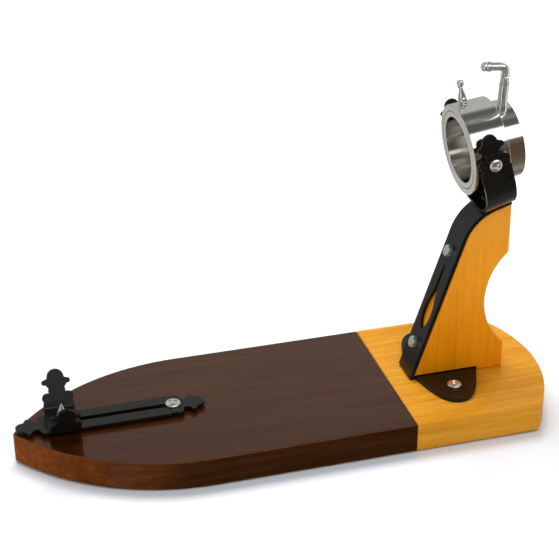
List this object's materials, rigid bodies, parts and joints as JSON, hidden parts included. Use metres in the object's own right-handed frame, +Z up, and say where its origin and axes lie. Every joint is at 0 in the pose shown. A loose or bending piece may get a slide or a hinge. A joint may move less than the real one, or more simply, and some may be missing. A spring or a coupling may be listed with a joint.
{
  "type": "ham stand",
  "caption": "Wooden ham stand with a slotted rail and forked cradle at one end and, on a raked column, a tilting and spinning steel ring with a screw clamp.",
  "frame": {"origin": "middle of the footprint, on the surface that the rubber feet stand on", "axes": "+X from the pointed end towards the column, +Y to the far side, +Z up"},
  "size_m": [0.509, 0.18, 0.3496],
  "materials": {
    "dark_wood": "dark stain under gloss varnish, grain along X",
    "honey_wood": "clear varnish, streaky grain along X",
    "column_wood": "clear varnish, grain upright",
    "beech": "bare dowel",
    "black_steel": "gloss powder coat",
    "stainless": "turned and polished",
    "chrome": "bright plated",
    "zinc": "bright zinc",
    "nylon": "natural",
    "rubber": "matt"
  },
  "bodies": {
    "base": {"front_board": "dark_wood", "rear_board": "honey_wood", "board_dowel_1": "beech", "board_dowel_2": "beech", "board_dowel_3": "beech", "foot_front_near": "rubber", "foot_front_far": "rubber", "foot_rear_near": "rubber", "foot_rear_far": "rubber", "column": "column_wood", "column_strap": "black_steel", "wing_screw_near": "zinc", "wing_screw_far": "zinc", "strap_bolt_upper": "zinc", "strap_bolt_lower": "zinc", "column_lag_front": "zinc", "column_lag_rear": "zinc", "yoke": "black_steel", "yoke_bolt": "black_steel", "rail": "black_steel", "rail_spacer_front": "zinc", "rail_spacer_rear": "zinc", "rail_screw_rear": "zinc", "rail_screw_front": "black_steel"},
    "tilting_ring": {"outer_ring": "stainless", "pivot_screw_near": "zinc", "pivot_screw_far": "zinc", "pivot_washer_near": "nylon", "pivot_washer_far": "nylon"},
    "ring_lock": {"ring_lock_screw": "chrome"},
    "spinning_ring": {"inner_ring": "stainless"},
    "clamp_foot": {"clamp_pad": "chrome"},
    "clamp_screw": {"clamp_sleeve": "chrome", "clamp_lever": "chrome", "lever_cap": "chrome"},
    "rail_slider": {"slot_nut": "zinc"},
    "cradle_fork": {"cradle": "black_steel"},
    "spike": {"cradle_spike": "chrome"}
  },
  "joints": [
    {"name": "ring_tilt", "type": "hinge", "parent": "base", "child": "tilting_ring", "pos_m": [0.1834, 0, 0.2602], "axis": [0, 1, 0], "range_deg": [-20, 15]},
    {"name": "ring_spin", "type": "hinge", "parent": "tilting_ring", "child": "spinning_ring", "pos_m": [0.1834, 0, 0.2602], "axis": [0.9913, 0, 0.1319], "range_deg": [-108, 68]},
    {"name": "ring_lock_turn", "type": "hinge", "parent": "tilting_ring", "child": "ring_lock", "pos_m": [0.17716, 0, 0.25937], "axis": [-0.1303, 0.1564, 0.9791], "range_deg": [0, 180]},
    {"name": "clamp_travel", "type": "slide", "parent": "spinning_ring", "child": "clamp_foot", "axis": [0.124, 0.342, -0.9315], "range_m": [0, 0.022]},
    {"name": "clamp_turn", "type": "hinge", "parent": "clamp_foot", "child": "clamp_screw", "pos_m": [0.2057, 0, 0.26317], "axis": [0.124, 0.342, -0.9315], "range_deg": [0, 5281]},
    {"name": "cradle_slide", "type": "slide", "parent": "base", "child": "rail_slider", "axis": [1, 0, 0], "range_m": [0, 0.068]},
    {"name": "cradle_swivel", "type": "hinge", "parent": "rail_slider", "child": "cradle_fork", "pos_m": [-0.2088, 0, 0.0356], "axis": [0, 0, 1], "range_deg": [-90, 90]},
    {"name": "spike_turn", "type": "hinge", "parent": "rail_slider", "child": "spike", "pos_m": [-0.2088, 0, 0.0356], "axis": [0, 0, 1], "continuous": true}
  ],
  "couplings": [
    {"joint": "clamp_turn", "follows": "clamp_travel", "rad_per_m": 4188.8}
  ]
}
